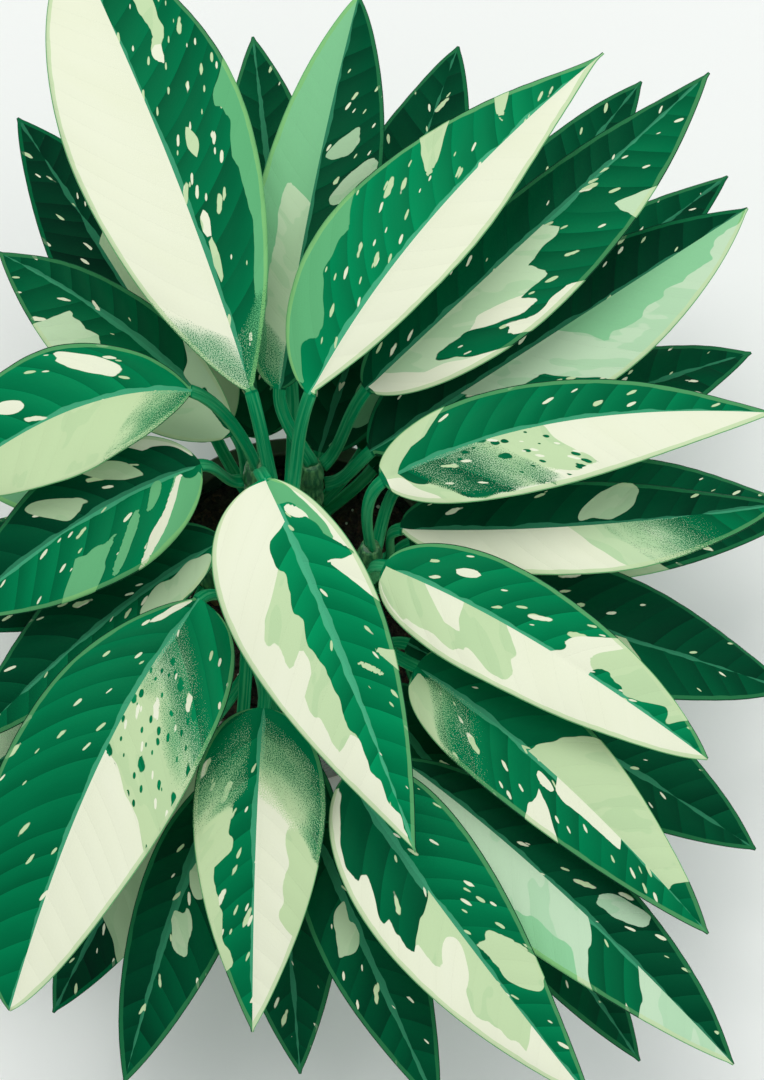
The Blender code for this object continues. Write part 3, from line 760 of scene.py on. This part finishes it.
def leaf_material():
    """Pleated green in painted shading, cream, sage and mint sectors, flecks, a teal midrib and a pale
    margin.
    """
    t = Tree("variegated_leaf")
    shade, misty, cool = t.fact("shade"), t.fact("misty"), t.fact("cool")
    under, stalk = t.fact("under"), t.fact("stalk")
    fine = t.swing(t.noise(t.uv("veins", 300, 150), detail=1), 1.0)
    grain = t.noise(t.uv("span", 900, 900), detail=2, roughness=0.8)

    # Sectors with ragged borders. Where it is misty the borders are softer and dissolve in grains.
    soft = t.step(misty, 0.0, 1.0, 1.0, 0.22)
    dust = t.noise(t.uv("span", 2100, 2100), detail=1, roughness=0.6)
    dust = t.times(t.swing(dust, 26.0), misty)
    bend = t.times(t.add(ragged(t, 66, 56, 0.0, 21.0), fine), t.step(misty, 0.0, 1.0, 1.0, 0.35))
    even = t.add(t.times(t.fact("pale"), soft), bend)
    pale = border(t, t.add(even, dust))
    bent = t.add(t.fact("cream"), ragged(t, 58, 50, 3.1, 19.0), fine)
    cream = border(t, t.add(t.times(bent, soft), t.times(dust, 0.6)))
    sage = border(t, t.add(t.fact("sage"), ragged(t, 60, 50, 6.3, 17.0), fine))

    # Pleats between the side veins, in painted shading: a step from dark to light at each vein, and each
    # pleat a little lighter or darker as painted light on its facet. The half's painted shade darkens all of
    # it.
    turns, offset, _ = t.axes(t.uv("pleats"))
    within = t.math("FRACT", turns)
    own = t.random(t.math("FLOOR", turns), t.math("GREATER_THAN", offset, 0.0))
    cloud = t.noise(t.uv("veins", 60, 40, 2.2), detail=3)
    tone = t.add(t.times(within, -0.50), t.times(own, 0.34), t.times(cloud, 0.40), 0.42)
    plain = t.mix(tone, t.mix(shade, PLEAT_SHADED, DEEP_SHADE_PLEAT_DARK), t.mix(shade, PLEAT_LIT, DEEP_SHADE_PLEAT_LIT))

    # A teal band along the midrib, then the flecks
    wobble = t.swing(t.noise(t.uv("span", 60, 90, 4.0), detail=2), 4.2)
    band = t.step(t.add(t.fact("band"), wobble, t.times(fine, 0.3)), -0.12, 0.12)
    # The band darkens with the half's painted shade
    green = t.mix(band, plain, t.mix(t.times(shade, 0.7), TEAL, DEEP_SHADE_PLEAT_LIT))
    fleck, fleck_tone = flecks(t, t.fact("flecks"), "streaks")
    spots = t.mix(t.step(fleck_tone, 0.52, 0.60), CREAM_WARM, SAGE)
    green = t.mix(fleck, green, spots)

    # The pale colours, with the mist's haze, the freckles, and painted shade that greys them on the shaded
    # halves and lower leaves
    cloud = t.noise(t.uv("veins", 45, 30, 8.0), detail=2)
    two = t.step(cloud, 0.53, 0.545)
    sage_tone = t.mix(cool, t.mix(two, SAGE, SAGE_DEEP), t.mix(two, SAGE_COOL, MINT_COOL))
    sage_tone = t.mix(t.times(two, 0.35), t.mix(cool, SAGE, SAGE_COOL), sage_tone)
    mint_tone = t.mix(cool, MINT, MINT_COOL)
    tint = t.mix(t.times(cloud, 0.8), CREAM, CREAM_WARM)
    light = t.mix(cream, t.mix(sage, mint_tone, sage_tone), tint)
    haze = t.times(misty, t.step(even, 5.0, 0.0))
    light = t.mix(t.times(haze, 0.6), light, MINT)
    freckled = t.fact("freckled")
    light = t.mix(flecks(t, t.times(freckled, FRECKLE_DENSITY), "veins", 5.0)[0], light, plain)
    light = t.mix(t.times(fleck, t.step(freckled, 0.3, 0.7)), light, CREAM)
    # Painted shade: the darker the half, the greyer its pale parts
    shade_on_pale = t.step(shade, 0.6, 1.0, 0.0, 0.4)
    light = t.mix(shade_on_pale, light, PALE_IN_SHADE)
    colour = t.mix(pale, green, light)

    # Margins: a paler band, and a thin dark rim
    edge = t.add(t.fact("edge"), t.times(wobble, 0.35), t.times(fine, 0.2))
    inner = t.times(t.step(edge, 2.5, 2.3), t.step(t.fact("edge"), NO_MARGIN - 1, NO_MARGIN - 2))
    # The margin band takes the half's painted shade as well
    trim = t.mix(t.math("MAXIMUM", cream, sage), MINT_TRIM, t.mix(shade_on_pale, SAGE, PALE_IN_SHADE))
    trim = t.mix(pale, t.mix(shade, MARGIN_GREEN, PLEAT_SHADED), trim)
    colour = t.mix(t.times(inner, 0.85), colour, trim)
    rim = t.step(t.fact("edge"), 0.5, 0.35)
    colour = t.mix(rim, colour, t.mix(pale, RIM, MARGIN_GREEN))

    # Stalks, and the duller undersides
    stripe = t.noise(t.uv("span", 25, 700), detail=3)
    stalk_tone = t.mix(t.step(stripe, 0.42, 0.66), STALK, STALK_PALE)
    colour = t.mix(stalk, colour, stalk_tone)
    dull = t.mix(pale, MARGIN_GREEN, SAGE)
    colour = t.mix(t.times(under, 0.45), colour, dull)

    # Relief: sunken side veins, fine veins between them, and the skin's grain
    valley = t.math("POWER", t.math("ABSOLUTE", t.math("SINE", t.times(turns, math.pi))), 0.35)
    threads = t.math("ABSOLUTE", t.math("SINE", t.times(turns, math.pi * 7)))
    on_blade = t.add(1.0, t.times(stalk, -1.0))
    normal = t.bump(t.times(valley, on_blade, t.step(pale, 0.0, 1.0, 1.0, 0.6)), 0.0005, 0.5)
    normal = t.bump(t.times(threads, on_blade), 0.00003, 0.35, normal)
    skin = t.cells(t.uv("span", 1400, 1400))[0]
    normal = t.bump(skin, 0.00006, 0.5, normal)
    rough = t.add(t.times(grain, 0.16), t.times(under, 0.18), t.times(pale, 0.05), 0.36)
    return t.finish(colour, rough, normal, Specular_IOR_Level=0.06, Specular_Tint=LEAF_SHEEN)


def skin_of_revolution(name, profile, sides):
    """A mesh turned about Z from a profile of (radius, height) points whose ends lie on the axis."""
    bm = bmesh.new()
    turns = [math.tau * i / sides for i in range(sides)]
    rows = []
    for radius, height in profile:
        if radius < 1e-6:
            rows.append([bm.verts.new((0, 0, height))])
            continue
        rows.append([bm.verts.new((radius * math.cos(a), radius * math.sin(a), height)) for a in turns])
    for low, high in zip(rows, rows[1:]):
        for i in range(sides):
            j = (i + 1) % sides
            ring = [low[i % len(low)], low[j % len(low)], high[j % len(high)], high[i % len(high)]]
            bm.faces.new(dict.fromkeys(ring))
    bmesh.ops.recalc_face_normals(bm, faces=bm.faces)
    mesh = bpy.data.meshes.new(name)
    bm.to_mesh(mesh)
    bm.free()
    return mesh


def arc(centre, radius, start, end):
    """Points of a circular arc in the profile plane, angles in degrees."""
    turns = [math.radians(start + (end - start) * i / ARC_STEPS) for i in range(ARC_STEPS + 1)]
    return [(centre[0] + radius * math.cos(a), centre[1] + radius * math.sin(a)) for a in turns]


def outer_radius(height):
    """The pot body's outer radius at this height, below the rim's band."""
    return POT_FOOT_RADIUS + (POT_RIM_RADIUS - RIM_PROUD - POT_FOOT_RADIUS) * height / POT_HEIGHT


def weld(mesh):
    """Takes out the slivers that cutting the holes leaves."""
    bm = bmesh.new()
    bm.from_mesh(mesh)
    bmesh.ops.remove_doubles(bm, verts=bm.verts, dist=WELD)
    bmesh.ops.dissolve_degenerate(bm, dist=WELD, edges=bm.edges)
    wide = [face for face in bm.faces if len(face.verts) > 4]
    bmesh.ops.triangulate(bm, faces=wide, ngon_method="EAR_CLIP")
    bm.to_mesh(mesh)
    bm.free()


def pot_piece(finish):
    """The plain tapered pot, with rounded edges and its three drainage holes."""
    top_inner = POT_RIM_RADIUS - RIM_PROUD - POT_WALL
    band = POT_HEIGHT - RIM_HEIGHT
    lift = EDGE_RADIUS
    profile = [(0, POT_WALL), (outer_radius(POT_WALL) - POT_WALL, POT_WALL)]
    profile += arc((top_inner + lift, POT_HEIGHT - lift), lift, 180, 90)
    profile += arc((POT_RIM_RADIUS - lift, POT_HEIGHT - lift), lift, 90, 0)
    profile += arc((POT_RIM_RADIUS - lift, band + lift), lift, 0, -90)
    profile += [(outer_radius(band), band)]
    heights = [band + (lift * 2 - band) * i / WALL_STEPS for i in range(1, WALL_STEPS + 1)]
    profile += [(outer_radius(height), height) for height in heights]
    profile += arc((POT_FOOT_RADIUS - lift, lift), lift, 0, -90)
    profile += [(0, 0)]
    mesh = skin_of_revolution("pot_fine", profile, POT_SIDES)
    piece = add_piece("pot_fine", mesh, finish, "pot")
    cutters = []
    for i in range(DRAIN_COUNT):
        turn = math.tau * (i + 0.25) / DRAIN_COUNT
        centre = Vector((math.cos(turn), math.sin(turn), 0)) * DRAIN_CIRCLE + UP * POT_WALL / 2
        bpy.ops.mesh.primitive_cylinder_add(
            vertices=DRAIN_SIDES, radius=DRAIN_RADIUS, depth=POT_WALL * 3, location=centre
        )
        cutters.append(bpy.context.object)
        cut = piece.modifiers.new("drain", "BOOLEAN")
        cut.operation = "DIFFERENCE"
        cut.object = cutters[-1]
    bpy.context.view_layer.update()
    done = bpy.data.meshes.new_from_object(piece.evaluated_get(bpy.context.evaluated_depsgraph_get()))
    piece.modifiers.clear()
    piece.data = done
    for cutter in cutters:
        bpy.data.objects.remove(cutter)
    weld(done)
    done.shade_smooth()
    done.set_sharp_from_angle(angle=math.radians(40))
    return piece


def pot_material():
    """A satin dark green glaze, faintly speckled, thinner at the rim, over a bare clay foot."""
    t = Tree("pot_glaze_fine")
    height = t.axes(t.place(1000))[2]
    cloud = t.noise(t.place(22, 22, 60), detail=4)
    glaze = t.mix(cloud, srgb(24, 44, 34), srgb(40, 66, 52))
    far, chance, growth, _ = t.cells(t.place(260), "3D")
    spot = t.times(t.step(far, 0.20, 0.12), t.math("LESS_THAN", chance, 0.10), growth)
    glaze = t.mix(t.times(spot, 0.7), glaze, srgb(92, 110, 86))
    thin = t.step(t.math("ABSOLUTE", t.add(height, -(POT_HEIGHT - 0.8 * MM) / MM)), 1.6, 0.2)
    glaze = t.mix(t.times(thin, 0.45), glaze, srgb(96, 92, 70))
    clay_noise = t.noise(t.place(700), detail=4)
    clay = t.mix(clay_noise, srgb(120, 92, 70), srgb(152, 122, 96))
    edge = t.add(height, t.swing(t.noise(t.place(60, 60, 10), detail=2), 1.6))
    bare = t.step(edge, 4.2, 3.7)
    colour = t.mix(bare, glaze, clay)
    normal = t.bump(t.noise(t.place(3, 3, 420), detail=2), 0.0006, 0.35)
    normal = t.bump(t.noise(t.place(900), detail=2), 0.0001, 0.4, normal)
    rough = t.add(t.times(bare, 0.50), t.times(cloud, 0.10), 0.22)
    return t.finish(colour, rough, normal)


def strew_chips(bm, mound, edge):
    """Bark chips, and now and then a grain of perlite, on a mound of this radius and edge height."""
    rng = random.Random("chips")
    for i in range(CHIP_COUNT):
        turn, reach = rng.uniform(0, math.tau), mound * 0.94 * math.sqrt(rng.random())
        level = edge + SOIL_MOUND * (1 - (reach / mound) ** 2)
        perlite = i % CHIPS_TO_PERLITE == 0
        size = rng.uniform(0.7, 1.3) * MM if perlite else rng.uniform(1.0, 2.6) * MM
        made = bmesh.ops.create_icosphere(bm, subdivisions=2 if perlite else 1, radius=size)["verts"]
        shape = (1, 0.9, 0.8) if perlite else (rng.uniform(1.2, 2.4), rng.uniform(0.7, 1.1), 0.45)
        tilt = Matrix.Rotation(rng.uniform(-0.5, 0.5), 3, "X") @ Matrix.Rotation(rng.uniform(0, 6.2), 3, "Z")
        for vert in made:
            bent = Vector(x * y for x, y in zip(vert.co, shape))
            bent *= 1 + 0.25 * noise.noise(vert.co * 900 + Vector((i * 3.7, 0, 0)))
            vert.co = tilt @ bent + Vector((math.cos(turn) * reach, math.sin(turn) * reach, level))
        for face in {face for vert in made for face in vert.link_faces}:
            face.material_index = 1 if perlite else 0


def soil_piece(finish):
    """Potting mix: a rough mounded top strewn with bark chips and a few grains of perlite."""
    floor = POT_WALL + CLEARANCE
    edge = POT_HEIGHT - SOIL_BELOW_RIM
    wall = POT_WALL + CLEARANCE * 1.5
    mound = outer_radius(edge) - wall
    rings = [i / SOIL_RINGS for i in range(SOIL_RINGS + 1)]
    profile = [(mound * f, edge + SOIL_MOUND * (1 - f * f)) for f in rings]
    profile += [(outer_radius(floor) - wall, floor), (0, floor)]
    mesh = skin_of_revolution("soil_fine", profile, SOIL_SIDES)
    bm = bmesh.new()
    bm.from_mesh(mesh)
    for vert in bm.verts:
        radius = math.hypot(vert.co.x, vert.co.y)
        if vert.co.z < edge - MM:
            continue
        calm = float(smooth(mound, mound * 0.93, radius))
        rise = noise.fractal(vert.co * 160, 1.0, 2.0, 4) + 0.6 * noise.noise(vert.co * 700)
        vert.co.z += SOIL_ROUGHNESS * (rise * 0.5 - 0.25) * calm
    strew_chips(bm, mound, edge)
    bm.to_mesh(mesh)
    bm.free()
    piece = add_piece("soil_fine", mesh, finish[0], "soil")
    mesh.materials.append(finish[1])
    mesh.shade_smooth()
    mesh.set_sharp_from_angle(angle=math.radians(35))
    return piece


def soil_material():
    """Moist peat and bark, each crumb a little different."""
    t = Tree("potting_mix")
    crumbs, one, two, _ = t.cells(t.place(420), "3D")
    grit = t.noise(t.place(1500), detail=4, roughness=0.7)
    tone = t.mix(one, srgb(24, 18, 14), srgb(58, 44, 34))
    tone = t.mix(t.times(t.math("LESS_THAN", two, 0.16), 0.8), tone, srgb(88, 64, 46))
    colour = t.mix(t.times(grit, 0.5), tone, srgb(16, 13, 11))
    normal = t.bump(t.math("MULTIPLY_ADD", crumbs, -1.0, 1.0), 0.0016, 0.9)
    normal = t.bump(grit, 0.0005, 0.8, normal)
    return t.finish(colour, t.add(t.times(grit, 0.2), 0.75), normal)


def perlite_material():
    """Chalk-white grains with tiny pores."""
    t = Tree("perlite")
    pores = t.noise(t.place(1800), detail=3)
    colour = t.mix(pores, srgb(190, 186, 176), srgb(236, 234, 228))
    return t.finish(colour, t.add(t.times(pores, 0.2), 0.7), t.bump(pores, 0.0003, 0.8))


def stem_radius(height, high, seats):
    """A stem's radius: swollen at each leaf's seat with a ring scar below it, and rounded at its end."""
    swell = INTERNODE_WAIST if height > SOIL_TOP else 1.0
    for seat in seats:
        near = math.exp(-(((height - seat) / NODE_REACH) ** 2))
        swell = max(swell, INTERNODE_WAIST + (NODE_SWELLING - INTERNODE_WAIST) * near)
    radius = STEM_RADIUS * swell
    for seat in seats:
        radius -= SCAR_DEPTH * math.exp(-(((height - seat + SCAR_BELOW_NODE) / SCAR_HALF_WIDTH) ** 2))
    radius *= 1 - (1 - STEM_END_TAPER) * float(smooth(high - STEM_END_LENGTH, high, height))
    turned = max(0.0, height - (high - STEM_SHOULDER)) / STEM_SHOULDER
    return radius - STEM_SHOULDER * (1 - math.sqrt(max(0.0, 1 - turned**2)))


def stem_piece(number, stem, finish):
    """A round stem from its planting depth to its end, with a node at each of its leaves."""
    seats = sorted(leaf.seat * MM for leaf in LEAVES if leaf.stem == number and leaf.seat is not END)
    low, high = SOIL_TOP - PLANTING_DEPTH, stem.top * MM
    neck = high - STEM_SHOULDER
    heights = [low + (neck - low) * i / STEM_STEPS for i in range(STEM_STEPS)]
    quarter = [math.pi / 2 * i / SHOULDER_STEPS for i in range(SHOULDER_STEPS + 1)]
    heights += [neck + STEM_SHOULDER * math.sin(turn) for turn in quarter]
    turns = [math.tau * i / STEM_SIDES for i in range(STEM_SIDES)]
    rows = []
    for height in heights:
        radius = stem_radius(height, high, seats)
        centre = stem_centre(stem, height)
        rows.append([centre + Vector((math.cos(a), math.sin(a), 0)) * radius for a in turns])
    mesh = tube_mesh(f"stem_{number}_fine", np.array(rows))[0]
    mesh.set_sharp_from_angle(angle=math.radians(50))
    return add_piece(mesh.name, mesh, finish, f"stem_{number}")


def stem_material():
    """Green skin with pale lengthwise flecks, corky and brown near the soil."""
    t = Tree("stem_skin")
    height = t.axes(t.place(1000))[2]
    stripe = t.noise(t.place(520, 520, 45), detail=3)
    green = t.mix(t.step(stripe, 0.40, 0.68), srgb(20, 96, 56), srgb(96, 156, 96))
    cork_noise = t.noise(t.place(300, 300, 120), detail=4, roughness=0.7)
    cork = t.mix(cork_noise, srgb(84, 66, 44), srgb(142, 116, 80))
    ground = SOIL_TOP / MM
    fade = t.step(t.add(height, t.swing(cork_noise, 26)), ground + 26, ground + 6)
    colour = t.mix(fade, green, cork)
    normal = t.bump(stripe, 0.0004, 0.5)
    normal = t.bump(t.times(cork_noise, fade), 0.001, 0.6, normal)
    return t.finish(colour, t.add(t.times(fade, 0.3), 0.42), normal)


def floor_material():
    """An almost white matte floor with the faintest grain."""
    t = Tree("studio_floor")
    cloud = t.noise(t.place(1.5), detail=3)
    colour = t.mix(cloud, srgb(244, 245, 241), srgb(249, 249, 246))
    grain = t.noise(t.place(260), detail=3)
    return t.finish(colour, 0.75, t.bump(grain, 0.0004, 0.15))


def make_floor():
    """A plain pale floor, so wide that it meets the surround far behind the plant."""
    bpy.ops.mesh.primitive_plane_add(size=FLOOR_SIZE, location=(0, 0, -FLOOR_DROP))
    floor = bpy.context.object
    floor.name = "studio_floor"
    floor.data.materials.append(floor_material())


def make_light(name, place, target, size, energy, colour):
    """A soft square lamp aimed at the target."""
    data = bpy.data.lights.new(name, "AREA")
    data.size = size
    data.energy = energy
    data.color = colour
    lamp = bpy.data.objects.new(name, data)
    lamp.location = place
    lamp.rotation_euler = (Vector(target) - Vector(place)).to_track_quat("-Z", "Y").to_euler()
    bpy.context.scene.collection.objects.link(lamp)


def make_lights():
    """Soft studio light: a key from the picture's upper left, a weak fill, and a pale surround."""
    make_light("key", (-0.7, 1.2, 5.5), (0, 0, 0.24), 2.8, 122, (1.0, 0.99, 0.97))
    make_light("fill", (2.6, -0.4, 3.4), (0, 0, 0.2), 2.6, 34, (0.95, 0.98, 1.0))
    world = bpy.data.worlds.new("studio")
    world.use_nodes = True
    surround = world.node_tree.nodes["Background"]
    surround.inputs["Color"].default_value = (0.93, 0.97, 1.0, 1)
    surround.inputs["Strength"].default_value = 0.58
    bpy.context.scene.world = world


def make_camera():
    """The camera looks down on the plant as the picture does."""
    tilt = math.radians(CAMERA_ELEVATION)
    data = bpy.data.cameras.new("camera")
    data.lens = CAMERA_LENS
    camera = bpy.data.objects.new("camera", data)
    camera.location = CAMERA_TARGET + Vector((0, -math.cos(tilt), math.sin(tilt))) * CAMERA_DISTANCE
    camera.rotation_euler = (CAMERA_TARGET - camera.location).to_track_quat("-Z", "Y").to_euler()
    bpy.context.scene.collection.objects.link(camera)
    bpy.context.scene.camera = camera
    bpy.context.scene.view_settings.view_transform = "Standard"


make_camera()
make_lights()
make_floor()
pot_piece(pot_material())
soil_piece((soil_material(), perlite_material()))
stem_finish = stem_material()
for number, stem in STEMS.items():
    stem_piece(number, stem, stem_finish)
leaf_finish = leaf_material()
for index, leaf in enumerate(LEAVES):
    leaf_piece(leaf, index, leaf_finish)
